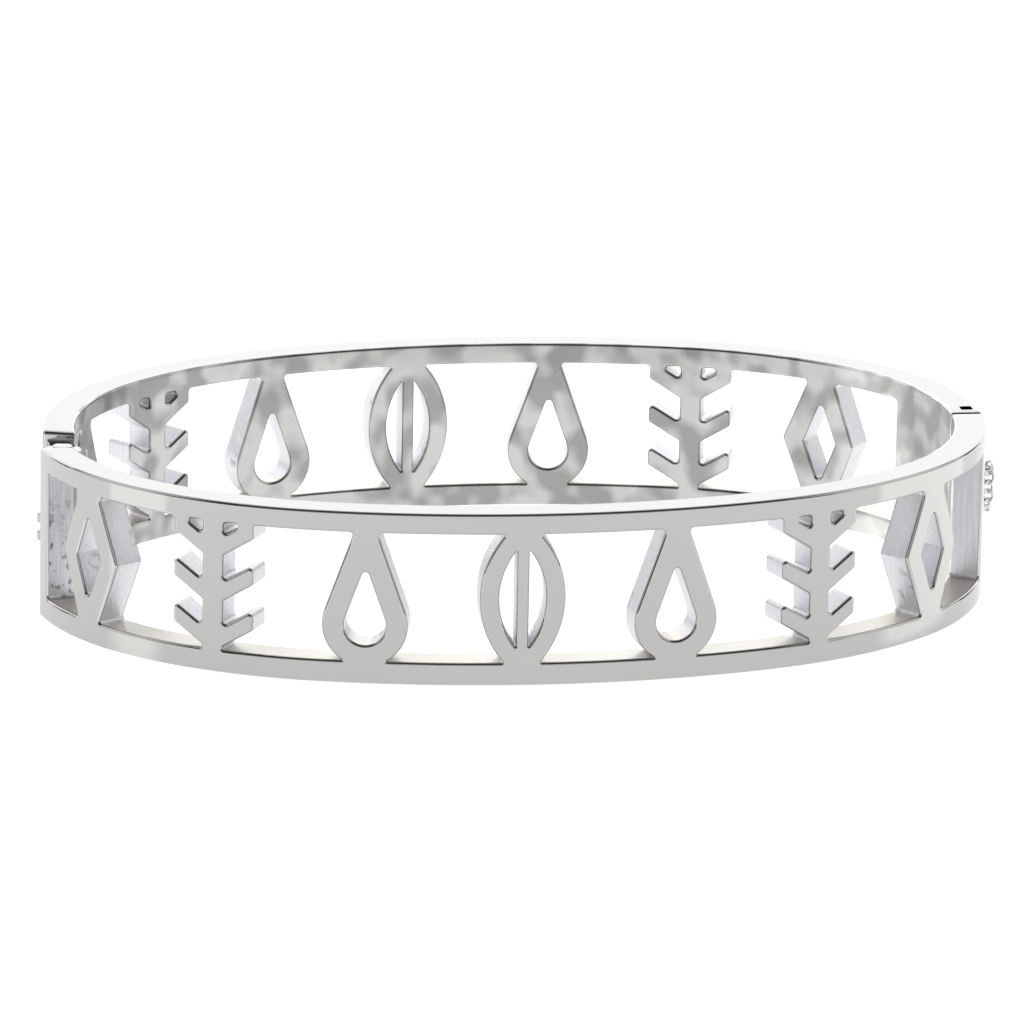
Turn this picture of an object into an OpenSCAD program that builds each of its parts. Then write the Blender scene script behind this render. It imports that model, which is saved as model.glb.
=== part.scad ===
// Hinged oval bangle: two pierced half bands, a five-knuckle hinge with its pin, a tongue clasp
// and a short safety chain over the clasp's seam.
// The band rests on its lower rim, the plane z = 0, with the oval's middle at the origin.
// The hinge is at the -X end, the clasp at the +X end, and the front half is at -Y.

/* [Band] */
// Height of the band
band_h = 12; // [11:0.1:13]
// Thickness of the band's wall
wall = 2.25; // [2.1:0.05:2.4]
// Half the oval's depth, out to the outer face
half_depth = 22.6; // [22:0.1:23.5]
// Reach of the oval from its middle to the clasp end
clasp_reach = 33; // [32.8:0.1:33.2]
// Reach of the front half at the hinge end, where it stands a little proud
front_reach = 33.6; // [33.3:0.1:33.8]
// Reach of the back half at the hinge end
back_reach = 32.7; // [32.5:0.1:32.9]
// Outer radius of the oval's narrow ends
end_r = 19.2; // [18.5:0.1:20]
// Angle of the narrow end's arc, from the long axis to the shoulder
end_turn = 48.8; // [46:0.2:51]
// Angle of the shoulder's arc
shoulder_turn = 24.9; // [23:0.1:27]

/* [Openwork] */
// Height of the rail under the windows
low_rail = 1.6; // [1.4:0.05:1.9]
// Height of the rail over the windows
top_rail = 1.45; // [1.3:0.05:1.8]
// Distance along the outer face from one motif to the next
pitch = 10.6; // [10.4:0.1:10.8]
// Width of a motif
motif_w = 5.8; // [5.4:0.1:6]
// Width of the bars that the motifs are made of
bar = 1.5; // [1.3:0.05:1.6]
// Place of the front half's middle motif, from the middle of the half towards the clasp
front_shift = -2.8; // [-3.2:0.1:-2.4]
// Place of the back half's middle motif, from the middle of the half towards the clasp
back_shift = -4.6; // [-5:0.1:-4.2]
// Where the front half's windows start, from the middle of the half
front_from = -40.3; // [-40.6:0.1:-39.6]
// Where the front half's windows end
front_to = 38.2; // [37:0.1:38.6]
// Where the back half's windows start
back_from = -42.2; // [-42.4:0.1:-41.4]
// Where the back half's windows end
back_to = 34.7; // [34:0.1:36]

/* [Hinge] */
// Place of the hinge axis along X
hinge_x = -31.6; // [-31.7:0.05:-31.5]
// Place of the hinge axis along Y
hinge_y = -2; // [-2.1:0.05:-1.9]
// Radius of the knuckles
knuckle_r = 1.3; // [1.2:0.05:1.35]
// Radius of the pin
pin_r = 0.5; // [0.4:0.05:0.55]
// Depth of the knuckles' ends under the rim, and over the rest
knuckle_inset = 0.55; // [0.5:0.05:0.8]
// From the hinge axis to the back half's end face, along Y
back_end = 2.3; // [2.25:0.05:2.4]
// Slant of the back half's end face
back_slant = 18; // [15:1:20]
// From the hinge axis to the front half's end face, along Y
front_end = 1.6; // [1.55:0.05:1.65]
// Slant of the front half's end face
front_slant = 10; // [8:1:11]

/* [Clasp] */
// Place of the seam between the halves, along Y
seam_y = -0.65; // [-0.8:0.05:-0.6]
// Width of the seam
seam_gap = 0.14; // [0.1:0.02:0.2]
// Thickness of the tongue
tongue_t = 0.9; // [0.7:0.05:1]
// Height of the tongue
tongue_h = 5.6; // [4.5:0.1:6.5]
// Length of the tongue beyond the seam
tongue_reach = 3.6; // [3:0.1:4]
// Length of the tongue's root inside the front half
tongue_root = 2; // [1.5:0.1:2.5]
// Width of the release slot in the back half's rim
slot_w = 0.85; // [0.7:0.05:0.9]

/* [Safety chain] */
// Radius of a link, to the middle of its wire
link_r = 0.5; // [0.495:0.005:0.505]
// Radius of the wire of the links, the hook and the eye
wire_r = 0.1; // [0.09:0.005:0.1]
// Distance from one link to the next
link_pitch = 0.67; // [0.665:0.005:0.675]
// Number of links
links = 14; // [13:1:15]
// Distance of the chain outside the oval's clasp end
chain_out = 0.6; // [0.58:0.02:0.7]
// Height of the hook and the eye that carry the chain
chain_z = 8.05; // [7.5:0.05:8.5]
// Place of the first link along Y, on the front half's hook
hook_y = -0.55; // [-0.6:0.05:-0.5]
// Place of the last link along Y, on the back half's eye
eye_y = 2.9; // [2.8:0.05:3.1]

/* [Hidden] */
$fn = 96;

// Kinds of motif, from the hinge end to the clasp end
MOTIFS = ["lozenge", "feather", "drop", "leaf", "drop", "feather", "lozenge"];
middle = (len(MOTIFS) - 1) / 2;

// Heights of the windows
win_h = band_h - low_rail - top_rail;
win_z = low_rail + win_h / 2;

// The cutters overlap by this much where they meet inside a window, and reach this far through the wall
lap = 0.8;
// The cut-outs round the motifs are this much taller than the plain windows beside them
void_step = 0.02;
cut_in = wall + 1.2;
cut_out = 1;

// The arcs run a little past the long axis, where the end faces cut them
past = 5;

// Turn from one flat facet of the wall to the next
facet_turn = 1.5;

// Room round the pin, round the tongue's root, round its free end, and between two knuckles
pin_play = 0.05;
root_play = 0.05;
tongue_play = 0.25;
axial_play = 0.1;

// Knuckles over both halves, the height from one to the next, and how far their webs run into the
// end faces
knuckles = 5;
knuckle_level = (band_h - 2 * knuckle_inset + axial_play) / knuckles;
embed = 0.35;

// Radius of the lugs on the middle knuckle, and the room round them
lug_r = 0.45;
lug_play = 0.1;

// The feather's barbs and the drop's round end run into the rails by this much
rail_lap = 0.4;

// The tongue is part of a ring of this radius about the hinge axis, so that it slides straight in
tongue_mid = norm([clasp_reach - wall / 2 - hinge_x, seam_y - hinge_y]);

// Hook and eye: the plane of their wire, the radius of its bend, the depth of its posts inside
// the face, a post's whole length, and the length of an arm
chain_x = clasp_reach + chain_out;
bend_r = 0.25;
post_root = 0.5;
wire_foot = chain_out + post_root;
arm_l = 0.55;

// The chain hangs in a U: down from the hook, round a half circle and up to the eye
link_drop = 0.13;
chain_top = chain_z - link_drop;
sag_r = (eye_y - hook_y) / 2;
limb = ((links - 1) * link_pitch - PI * sag_r) / 2;

// Radii of the shoulder's and the side's arcs, which close the oval for a given reach
function two_radii(reach) =
    let (shoulder = end_turn + shoulder_turn,
         m11 = cos(shoulder) - cos(end_turn),
         m12 = -cos(shoulder),
         m21 = sin(shoulder) - sin(end_turn),
         m22 = 1 - sin(shoulder),
         k1 = end_r - reach - end_r * cos(end_turn),
         k2 = half_depth - end_r * sin(end_turn),
         det = m11 * m22 - m12 * m21)
    [(k1 * m22 - m12 * k2) / det, (m11 * k2 - m21 * k1) / det];

// The three arcs of one quarter of the oval. Columns: centre, radius, first angle, last angle
function quarter_arcs(reach) =
    let (r = two_radii(reach),
         shoulder = end_turn + shoulder_turn,
         c1 = [reach - end_r, 0],
         c2 = c1 + (end_r - r[0]) * [cos(end_turn), sin(end_turn)],
         c3 = c2 + (r[0] - r[1]) * [cos(shoulder), sin(shoulder)])
    [[c1, end_r, -past, end_turn],
     [c2, r[0], end_turn, shoulder],
     [c3, r[1], shoulder, 90]];

function arc_deg(length, r) = length / r * 180 / PI;
function arc_len(arc) = arc[1] * (arc[3] - arc[2]) * PI / 180;

// Point of the outer face and angle of its normal, s along the face from the middle of the back half
function quarter_place(arcs, s, i = 2) =
    i == 0 || s <= arc_len(arcs[i])
    ? let (a = arcs[i][3] - arc_deg(s, arcs[i][1]))
      [arcs[i][0] + arcs[i][1] * [cos(a), sin(a)], a]
    : quarter_place(arcs, s - arc_len(arcs[i]), i - 1);

function place(reach, s) =
    s >= 0
    ? quarter_place(quarter_arcs(clasp_reach), s)
    : let (p = quarter_place(quarter_arcs(reach), -s)) [[-p[0][0], p[0][1]], 180 - p[1]];

// Points of one quarter of the oval from the long axis to the side, depth inside the outer face
function quarter_points(reach, depth) = [
    for (arc = quarter_arcs(reach))
        let (steps = round((arc[3] - arc[2]) / facet_turn))
        for (i = [arc[2] < 0 ? 0 : 1:steps])
            let (a = arc[2] + (arc[3] - arc[2]) * i / steps)
            arc[0] + (arc[1] - depth) * [cos(a), sin(a)]
];

function turned(points) = [for (i = [len(points) - 1:-1:0]) points[i]];

// The same from the clasp end round to the hinge end
function half_points(reach, depth) = concat(
    quarter_points(clasp_reach, depth),
    [for (p = turned(quarter_points(reach, depth))) if (p[0] > 0.001) [-p[0], p[1]]]
);

// The wall of one half, on the +Y side
module half_wall(reach) {
    linear_extrude(band_h)
        polygon(concat(half_points(reach, 0), turned(half_points(reach, wall))));
}

// Pushes a flat shape through the wall at s, along the face's normal there
module through_wall(reach, s) {
    p = place(reach, s);
    translate([p[0][0], p[0][1], win_z]) rotate([0, 0, p[1]]) rotate([90, 0, 90])
        translate([0, 0, -cut_in]) linear_extrude(cut_in + cut_out) children();
}

// Motifs, drawn flat in bars that run into both rails

module lozenge() {
    // The outer tips lie inside the rails, so that a neck joins the lozenge to each of them
    half_w = motif_w / 2;
    half_neck = 0.7 * bar;
    half_h = win_h / 2 / (1 - half_neck / half_w);
    inner = 1 - bar * norm([half_w, half_h]) / (half_w * half_h);
    difference() {
        polygon([[half_w, 0], [0, half_h], [-half_w, 0], [0, -half_h]]);
        scale(inner) polygon([[half_w, 0], [0, half_h], [-half_w, 0], [0, -half_h]]);
    }
}

module feather() {
    // Pairs of barbs slant up from the rib, and the last pair runs into the top rail
    pairs = 3;
    slant = 32;
    barb_w = 0.78 * bar;
    root = bar / 4;
    rise = (motif_w / 2 - root) * tan(slant);
    thick = barb_w / cos(slant);
    first = -win_h / 2;
    last = win_h / 2 - rise - thick + rail_lap;
    square([bar, win_h + 2 * lap], center = true);
    for (side = [0, 1], k = [0:pairs - 1])
        mirror([side, 0]) translate([root, first + (last - first) * k / (pairs - 1)])
            polygon([[0, 0], [motif_w / 2 - root, rise], [motif_w / 2 - root, rise + thick],
                     [0, thick]]);
}

// A round bottom, and two straight sides that leave it smoothly and meet in a point above it
module drop_outline(r, tip) {
    spread = asin(r / tip);
    steps = 32;
    round_part = [
        for (i = [0:steps])
            let (a = spread - i / steps * (180 + 2 * spread)) r * [cos(a), sin(a)]
    ];
    polygon(concat([[0, tip]], round_part));
}

module drop() {
    // The point lies deep inside the top rail, and the sides still stand apart where they meet it
    r = motif_w / 2;
    low = -win_h / 2 + r - rail_lap;
    tip = 0.75 * win_h - low;
    translate([0, low]) difference() {
        drop_outline(r, tip);
        drop_outline(r - bar, tip - bar * tip / r);
    }
}

// The lens between two circles, half_w from its middle to its sides
module lens(r, half_w) {
    intersection() {
        translate([half_w - r, 0]) circle(r);
        translate([r - half_w, 0]) circle(r);
    }
}

module leaf() {
    // The tips lie inside the rails, and a thin midrib parts the hole
    half_w = motif_w / 2;
    half_h = 1.25 * win_h / 2;
    r = (half_h * half_h + half_w * half_w) / (2 * half_w);
    edge = 0.88 * bar;
    midrib = 0.55 * bar;
    difference() {
        lens(r, half_w);
        lens(r - edge, half_w - edge);
    }
    square([midrib, win_h + 2 * lap], center = true);
}

module motif(kind) {
    if (kind == "lozenge") lozenge();
    if (kind == "feather") feather();
    if (kind == "drop") drop();
    if (kind == "leaf") leaf();
}

// What is cut out of one half round its motifs
module motif_voids(reach, shift) {
    for (i = [0:len(MOTIFS) - 1])
        through_wall(reach, shift + (i - middle) * pitch)
            difference() {
                square([motif_w + 2 * lap, win_h + void_step], center = true);
                motif(MOTIFS[i]);
            }
}

// The plain windows between the motifs and at both ends of the row
module plain_windows(reach, shift, from, to) {
    edges = [
        from,
        for (i = [0:len(MOTIFS) - 1], side = [-1, 1])
            shift + (i - middle) * pitch + side * (motif_w + lap) / 2,
        to
    ];
    for (i = [0:2:len(edges) - 1])
        through_wall(reach, (edges[i] + edges[i + 1]) / 2)
            square([edges[i + 1] - edges[i], win_h], center = true);
}

// A pierced half of the oval, on the +Y side, before its ends are cut
module pierced_half(reach, shift, from, to) {
    difference() {
        difference() {
            half_wall(reach);
            plain_windows(reach, shift, from, to);
        }
        motif_voids(reach, shift);
    }
}

// What lies beyond an end face of the hinge, on its +Y side (side = 1) or its -Y side (side = -1)
module beyond_hinge_face(y, slant, side) {
    reach = 8;
    translate([hinge_x, y, -cut_out]) rotate([0, 0, -slant])
        translate([-reach, side > 0 ? 0 : -reach, 0])
            cube([2 * reach, reach, band_h + 2 * cut_out]);
}

// What lies beyond the seam's faces
module beyond_seam(side) {
    y = seam_y - side * seam_gap / 2;
    translate([clasp_reach / 2, side > 0 ? y : y - end_r, -cut_out])
        cube([clasp_reach, end_r, band_h + 2 * cut_out]);
}

// Knuckles first, first + 2 and so on, each with the web that joins it to its half. The webs end
// in parallel with the half's end face, which lies at this distance along Y, minus in front.
module hinge_knuckles(first, end, slant) {
    web_w = 1.6;
    web_end = end + sign(end) * embed;
    lean = web_w / 2 * tan(slant);
    for (k = [first:2:knuckles - 1])
        translate([hinge_x, hinge_y, knuckle_inset + k * knuckle_level]) {
            cylinder(r = knuckle_r, h = knuckle_level - axial_play);
            linear_extrude(knuckle_level - axial_play)
                polygon([[-web_w / 2, 0], [web_w / 2, 0],
                         [web_w / 2, web_end - lean], [-web_w / 2, web_end + lean]]);
        }
}

// Two small lugs on the outer side of the middle knuckle
module knuckle_lugs() {
    lug_h = 0.7;
    lug_pitch = 1.24;
    for (side = [-1, 1])
        translate([hinge_x - knuckle_r, hinge_y, (band_h + side * lug_pitch - lug_h) / 2])
            cylinder(r = lug_r, h = lug_h);
}

// Room in the front half's end face for the lugs, which pass it as the hinge opens
module lug_relief() {
    level = (knuckles - 1) / 2;
    translate([hinge_x, hinge_y, knuckle_inset + level * knuckle_level - axial_play / 2])
        cylinder(r = knuckle_r + lug_r + lug_play, h = knuckle_level);
}

module pin_bore() {
    translate([hinge_x, hinge_y, -cut_out])
        cylinder(r = pin_r + pin_play, h = band_h + 2 * cut_out);
}

function hinge_angle(y) = asin((y - hinge_y) / tongue_mid);

module tongue_ring(from_y, to_y, play) {
    translate([hinge_x, hinge_y, win_z - tongue_h / 2 - play])
        rotate_extrude(start = hinge_angle(from_y), angle = hinge_angle(to_y) - hinge_angle(from_y),
                       $fn = 720)
            translate([tongue_mid - tongue_t / 2 - play, 0])
                square([tongue_t + 2 * play, tongue_h + 2 * play]);
}

// The slot in the rim runs down into the tongue's box
module release_slot() {
    slot_l = 0.9;
    slot_depth = 0.93;
    slot_y = 0.62;
    translate([clasp_reach - slot_depth - slot_w / 2, slot_y - slot_l / 2, win_z])
        cube([slot_w, slot_l, band_h]);
}

// Hook and eye: round wire that stands out of the face and turns along Y

// A post out of the band at y, bent towards +Y into an arm that ends at arm_to
module bent_wire(y, arm_to) {
    translate([chain_x - wire_foot, y, chain_z]) rotate([0, 90, 0])
        cylinder(r = wire_r, h = wire_foot - bend_r);
    translate([chain_x - bend_r, y + bend_r, chain_z]) rotate_extrude(start = -90, angle = 90)
        translate([bend_r, 0]) circle(wire_r);
    translate([chain_x, y + bend_r, chain_z]) rotate([-90, 0, 0])
        cylinder(r = wire_r, h = arm_to - y - bend_r);
}

module chain_hook() {
    // The first link slips over the arm's free end
    free_end = hook_y + 0.6 * arm_l;
    bent_wire(hook_y - arm_l - bend_r, free_end);
    translate([chain_x, free_end, chain_z]) sphere(wire_r);
}

module chain_eye() {
    for (side = [0, 1])
        translate([0, eye_y, 0]) mirror([0, side, 0]) translate([0, -eye_y, 0])
            bent_wire(eye_y - arm_l - bend_r, eye_y);
}

// Place of a link's middle along the chain, and how far the chain has turned there.
// Columns: y, z, turn
function chain_place(d) =
    d < limb ? [hook_y, chain_top - d, 0]
    : d > limb + PI * sag_r ? [eye_y, chain_top - 2 * limb - PI * sag_r + d, 180]
    : let (a = arc_deg(d - limb, sag_r))
      [hook_y + sag_r * (1 - cos(a)), chain_top - limb - sag_r * sin(a), a];

module link() {
    rotate_extrude($fn = 48) translate([link_r, 0]) circle(wire_r, $fn = 24);
}

module front_half() {
    color("gainsboro") difference() {
        union() {
            difference() {
                mirror([0, 1, 0]) pierced_half(front_reach, front_shift, front_from, front_to);
                beyond_hinge_face(hinge_y - front_end, front_slant, 1);
                lug_relief();
                beyond_seam(1);
            }
            hinge_knuckles(1, -front_end, front_slant);
            chain_hook();
        }
        pin_bore();
        tongue_ring(seam_y - tongue_root - root_play, seam_y, root_play);
    }
}

module back_half() {
    color("gainsboro") difference() {
        union() {
            difference() {
                pierced_half(back_reach, back_shift, back_from, back_to);
                beyond_hinge_face(hinge_y + back_end, back_slant, -1);
                beyond_seam(-1);
            }
            hinge_knuckles(0, back_end, back_slant);
            knuckle_lugs();
            chain_eye();
        }
        pin_bore();
        tongue_ring(seam_y - cut_out, seam_y + tongue_reach + tongue_play, tongue_play);
        release_slot();
    }
}

module hinge_pin() {
    // The pin starts just inside the lowest knuckle, and its head lies just over the highest one
    head_r = 0.68;
    head_h = 0.2;
    foot = knuckle_inset + axial_play;
    top = band_h - knuckle_inset + axial_play / 2;
    color("whitesmoke") translate([hinge_x, hinge_y, 0]) {
        translate([0, 0, foot]) cylinder(r = pin_r, h = top + head_h / 2 - foot);
        translate([0, 0, top]) cylinder(r = head_r, h = head_h);
    }
}

module clasp_tongue() {
    color("silver") tongue_ring(seam_y - tongue_root, seam_y + tongue_reach, 0);
}

module safety_chain() {
    color("silver") for (i = [0:links - 1]) {
        p = chain_place(i * link_pitch);
        translate([chain_x, p[0], p[1]]) rotate([p[2], 0, 0])
            rotate([0, 0, i % 2 == 0 ? 45 : -45]) rotate([90, 0, 0]) link();
    }
}

front_half();
back_half();
hinge_pin();
clasp_tongue();
safety_chain();
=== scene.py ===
"""Hinged oval bangle: pierced halves, hinge pin, clasp tongue and safety chain, on a pale floor."""

import math
from collections import namedtuple

import bpy
import numpy as np
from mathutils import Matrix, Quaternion, Vector
from mathutils.geometry import delaunay_2d_cdt


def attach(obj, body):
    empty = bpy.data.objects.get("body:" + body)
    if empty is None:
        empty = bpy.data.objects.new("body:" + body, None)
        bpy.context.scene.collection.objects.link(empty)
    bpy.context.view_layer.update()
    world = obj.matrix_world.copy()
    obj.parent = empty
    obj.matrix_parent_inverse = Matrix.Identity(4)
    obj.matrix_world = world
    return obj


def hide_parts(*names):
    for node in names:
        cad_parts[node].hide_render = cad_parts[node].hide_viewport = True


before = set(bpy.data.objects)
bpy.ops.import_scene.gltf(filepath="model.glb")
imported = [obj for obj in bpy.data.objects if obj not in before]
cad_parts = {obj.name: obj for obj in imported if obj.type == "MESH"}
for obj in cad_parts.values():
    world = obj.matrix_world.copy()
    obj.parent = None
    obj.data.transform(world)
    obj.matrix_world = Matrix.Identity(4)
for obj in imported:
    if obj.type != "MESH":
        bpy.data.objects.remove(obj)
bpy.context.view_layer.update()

bl_info = {
    "name": "Hinged openwork bangle",
    "version": (1, 0, 0),
    "blender": (4, 5, 0),
    "location": "View3D > Sidebar > Bangle",
    "description": "Builds a pierced oval bangle with its hinge, clasp and safety chain",
    "category": "Object",
}

MM = 0.001

# Motifs of one half, from the hinge end to the clasp end
MOTIFS = ("lozenge", "feather", "drop", "leaf", "drop", "feather", "lozenge")

# Shapes of the motifs. In widths of a bar: half the lozenge's foot, a barb, and the leaf's edge
# and rib. In halves of a window's height: how far the drop's point and the leaf's tip lie from
# the middle. RAIL_LAP is how far a barb and the drop run into a rail.
FOOT, BARB, LEAF_EDGE, LEAF_RIB = 0.7, 0.78, 0.88, 0.55
BARB_SLANT = math.radians(32)
DROP_POINT, LEAF_TALL = 1.5, 1.25
RAIL_LAP = 0.4 * MM

# A corner that bends less than this isn't rounded. A rounded one has a step for so many degrees
# and takes up at most this share of the shorter side
NEARLY_STRAIGHT = math.radians(20)
CORNER_STEP = 15
CORNER_SHARE = 0.45

# Steps of a rounded edge, and the number of knuckles
EDGE_STEPS, KNUCKLES = 4, 5

# A cut's wall whose normal is steeper than this counts as a level one
FLAT_WALL = 0.93

# Rounded edges of the knuckles, the pin, and the tongue and the lugs
KNUCKLE_EDGE, PIN_EDGE, PLATE_EDGE = 0.08 * MM, 0.06 * MM, 0.12 * MM

# How far a cutting piece runs past what it cuts
PAST = 1 * MM

# Attributes that the meshes carry: the true normal, and the kind of surface, which is 1 on the
# upright walls of a cut, 0.5 on its level ones and -1 on the inner face of the band
SHADE = "shade"
SURFACE = "surface"
UPRIGHT, LEVEL, INNER, PLAIN = 1.0, 0.5, -1.0, 0.0


# Settings that a user would change


def length(name, description, default, low=0.0):
    """A length in metres, from a default in millimetres."""
    return bpy.props.FloatProperty(name=name, description=description, default=default * MM,
                                   min=low, unit="LENGTH", subtype="DISTANCE", precision=5)


def turn(name, description, default):
    """An angle, from a default in degrees."""
    return bpy.props.FloatProperty(name=name, description=description,
                                   default=math.radians(default), subtype="ANGLE")


def tint(name, description, default):
    """A colour."""
    return bpy.props.FloatVectorProperty(name=name, description=description, default=default,
                                         size=3, min=0.0, max=1.0, subtype="COLOR")


class BandSettings(bpy.types.PropertyGroup):
    """Sizes of the oval band."""
    height: length("Height", "Height of the band", 12)
    wall: length("Wall", "Thickness of the band", 2.25)
    half_depth: length("Half depth", "From the middle to the outer face, front to back", 22.6)
    clasp_reach: length("Clasp reach", "From the middle to the clasp end", 33)
    front_reach: length("Front reach", "From the middle to the front half's hinge end", 33.6)
    back_reach: length("Back reach", "From the middle to the back half's hinge end", 32.7)
    end_radius: length("End radius", "Outer radius of the narrow ends", 19.2)
    end_turn: turn("End turn", "Angle of a narrow end's arc", 48.8)
    shoulder_turn: turn("Shoulder turn", "Angle of the shoulder's arc", 24.9)
    edge: length("Edge", "Radius of the rounded edges", 0.2)
    corner: length("Corner", "Radius of the corners in the openwork", 0.26)
    grid: length("Grid", "Distance between the points of the mesh", 0.7)


class OpenworkSettings(bpy.types.PropertyGroup):
    """Sizes of the openwork."""
    low_rail: length("Low rail", "Height of the rail under the windows", 1.6)
    top_rail: length("Top rail", "Height of the rail over the windows", 1.45)
    pitch: length("Pitch", "From one motif to the next", 10.6)
    motif: length("Motif", "Width of a motif", 5.8)
    bar: length("Bar", "Width of the motifs' bars", 1.5)
    front_shift: length("Front shift", "Place of the front half's middle motif", -2.8, -1)
    back_shift: length("Back shift", "Place of the back half's middle motif", -4.6, -1)
    front_from: length("Front from", "Where the front half's windows start", -40.3, -1)
    front_to: length("Front to", "Where the front half's windows end", 38.2)
    back_from: length("Back from", "Where the back half's windows start", -42.2, -1)
    back_to: length("Back to", "Where the back half's windows end", 34.7)


class HingeSettings(bpy.types.PropertyGroup):
    """Sizes of the hinge."""
    x: length("X", "Place of the axis along X", -31.6, -1)
    y: length("Y", "Place of the axis along Y", -2, -1)
    knuckle: length("Knuckle", "Radius of a knuckle", 1.3)
    pin: length("Pin", "Radius of the pin", 0.5)
    bore: length("Bore", "Radius of the knuckles' bore", 0.55)
    inset: length("Inset", "Depth of the knuckles under the rims", 0.55)
    play: length("Play", "Gap between two knuckles", 0.1)
    back_end: length("Back end", "From the axis to the back half's end face", 2.3)
    back_slant: turn("Back slant", "Slant of the back half's end face", 18)
    front_end: length("Front end", "From the axis to the front half's end face", 1.6)
    front_slant: turn("Front slant", "Slant of the front half's end face", 10)
    web: length("Web", "Width of a knuckle's web", 1.6)
    embed: length("Embed", "How far a web runs into its half", 0.35)
    head: length("Head", "Radius of the pin's head", 0.68)
    head_height: length("Head height", "Height of the pin's head", 0.2)
    lug: length("Lug", "Radius of a lug", 0.45)
    lug_height: length("Lug height", "Height of a lug", 0.7)
    lug_pitch: length("Lug pitch", "Distance between the two lugs", 1.24)
    lug_play: length("Lug play", "Room round the lugs in the front half's end face", 0.1)


class ClaspSettings(bpy.types.PropertyGroup):
    """Sizes of the clasp."""
    seam: length("Seam", "Place of the seam along Y", -0.65, -1)
    seam_gap: length("Seam gap", "Width of the seam", 0.14)
    tongue: length("Tongue", "Thickness of the tongue", 0.9)
    tongue_height: length("Tongue height", "Height of the tongue", 5.6)
    tongue_reach: length("Tongue reach", "Length of the tongue beyond the seam", 3.6)
    tongue_root: length("Tongue root", "Length of the tongue inside the front half", 2)
    root_play: length("Root play", "Room round the tongue's root", 0.05)
    box_play: length("Box play", "Room round the tongue's free end", 0.25)
    slot: length("Slot", "Width of the release slot", 0.85)
    slot_length: length("Slot length", "Length of the release slot", 0.9)
    slot_depth: length("Slot depth", "Depth of the slot's middle inside the outer face", 0.93)
    slot_y: length("Slot Y", "Place of the slot's middle along Y", 0.62)


class ChainSettings(bpy.types.PropertyGroup):
    """Sizes of the safety chain, its hook and its eye."""
    links: bpy.props.IntProperty(name="Links", description="Number of links", default=14, min=3)
    link: length("Link", "Radius of a link, to the middle of its wire", 0.465)
    narrow: length("Narrow", "The same radius across the chain", 0.36)
    wire: length("Wire", "Radius of the wire", 0.12)
    twist: turn("Twist", "Turn of each link out of the chain's plane", 25)
    pitch: length("Pitch", "From one link to the next", 0.67)
    out: length("Out", "Distance of the chain outside the band", 0.6)
    height: length("Height", "Height of the hook and the eye", 8.05)
    drop: length("Drop", "From the hook to the first link's middle", 0.13)
    hook_y: length("Hook Y", "Place of the first link along Y", -0.55, -1)
    eye_y: length("Eye Y", "Place of the last link along Y", 2.9)
    bend: length("Bend", "Radius of the wire's bend", 0.25)
    arm: length("Arm", "Length of the wire's arm", 0.55)
    hook_tip: length("Hook tip", "Length of the hook beyond the first link", 0.33)
    post_root: length("Post root", "Depth of a post inside the band", 0.5)


class FinishSettings(bpy.types.PropertyGroup):
    """Colours of the finishes, and of a painted reflection on the clasp block's inner face."""
    plate: tint("Plate", "Colour of the plating", (0.5, 0.496, 0.485))
    inside: tint("Inside", "Colour of the band's inner face", (0.62, 0.612, 0.6))
    # Painted reflection: the near-white colour of the inner face towards the clasp end.
    block: tint("Block", "Colour of the clasp block's inner face", (0.95, 0.94, 0.92))
    cut: tint("Cut", "Colour of the cut walls", (0.86, 0.845, 0.885))
    sill: tint("Sill", "Colour of the cuts' level walls", (0.71, 0.695, 0.64))
    stain: tint("Stain", "Colour of the stains on the cut walls", (0.3, 0.29, 0.31))
    spring: tint("Spring", "Colour of the tongue's spring metal", (0.58, 0.58, 0.59))
    wire: tint("Wire", "Colour of the chain's wire", (0.92, 0.92, 0.92))
    floor: tint("Floor", "Colour of the floor", (0.3, 0.3, 0.3))


Settings = namedtuple("Settings", "band openwork hinge clasp chain finish")


def settings():
    """All the settings groups."""
    return Settings(*(getattr(bpy.context.scene, "bangle_" + name) for name in Settings._fields))


def new_object(name, data):
    """A new object in the scene."""
    made = bpy.data.objects.new(name, data)
    bpy.context.scene.collection.objects.link(made)
    return made


def plain_mesh(name, points, faces, material):
    """A new mesh object of one material."""
    data = bpy.data.meshes.new(name)
    data.from_pydata(points, [], faces)
    data.materials.append(material)
    return new_object(name, data)


def poly_line(name, places):
    """A curve of straight stretches."""
    curve = bpy.data.curves.new(name, "CURVE")
    curve.dimensions = "3D"
    spline = curve.splines.new("POLY")
    spline.points.add(len(places) - 1)
    for point, place in zip(spline.points, places):
        point.co = (*place, 1.0)
    return new_object(name, curve)


# Plan of the oval


def oval_arcs(band, reach):
    """One quarter's arcs from the long axis to the side: centre, radius, first and last angle."""
    first, shoulder = band.end_turn, band.end_turn + band.shoulder_turn
    matrix = np.array([[math.cos(shoulder) - math.cos(first), -math.cos(shoulder)],
                       [math.sin(shoulder) - math.sin(first), 1 - math.sin(shoulder)]])
    rest = np.array([band.end_radius - reach - band.end_radius * math.cos(first),
                     band.half_depth - band.end_radius * math.sin(first)])
    r2, r3 = np.linalg.solve(matrix, rest)
    c1 = np.array([reach - band.end_radius, 0.0])
    c2 = c1 + (band.end_radius - r2) * np.array([math.cos(first), math.sin(first)])
    c3 = c2 + (r2 - r3) * np.array([math.cos(shoulder), math.sin(shoulder)])
    return [(c1, band.end_radius, 0.0, first), (c2, r2, first, shoulder),
            (c3, r3, shoulder, math.pi / 2)]


def quarter_place(arcs, s):
    """Point, normal's angle and radius at s along the outer face, from the side to the end."""
    for centre, radius, low, high in reversed(arcs):
        angle = high - s / radius
        if angle >= low or low == 0.0:
            place = centre + radius * np.array([math.cos(angle), math.sin(angle)])
            return place, angle, radius
        s -= radius * (high - low)


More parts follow.
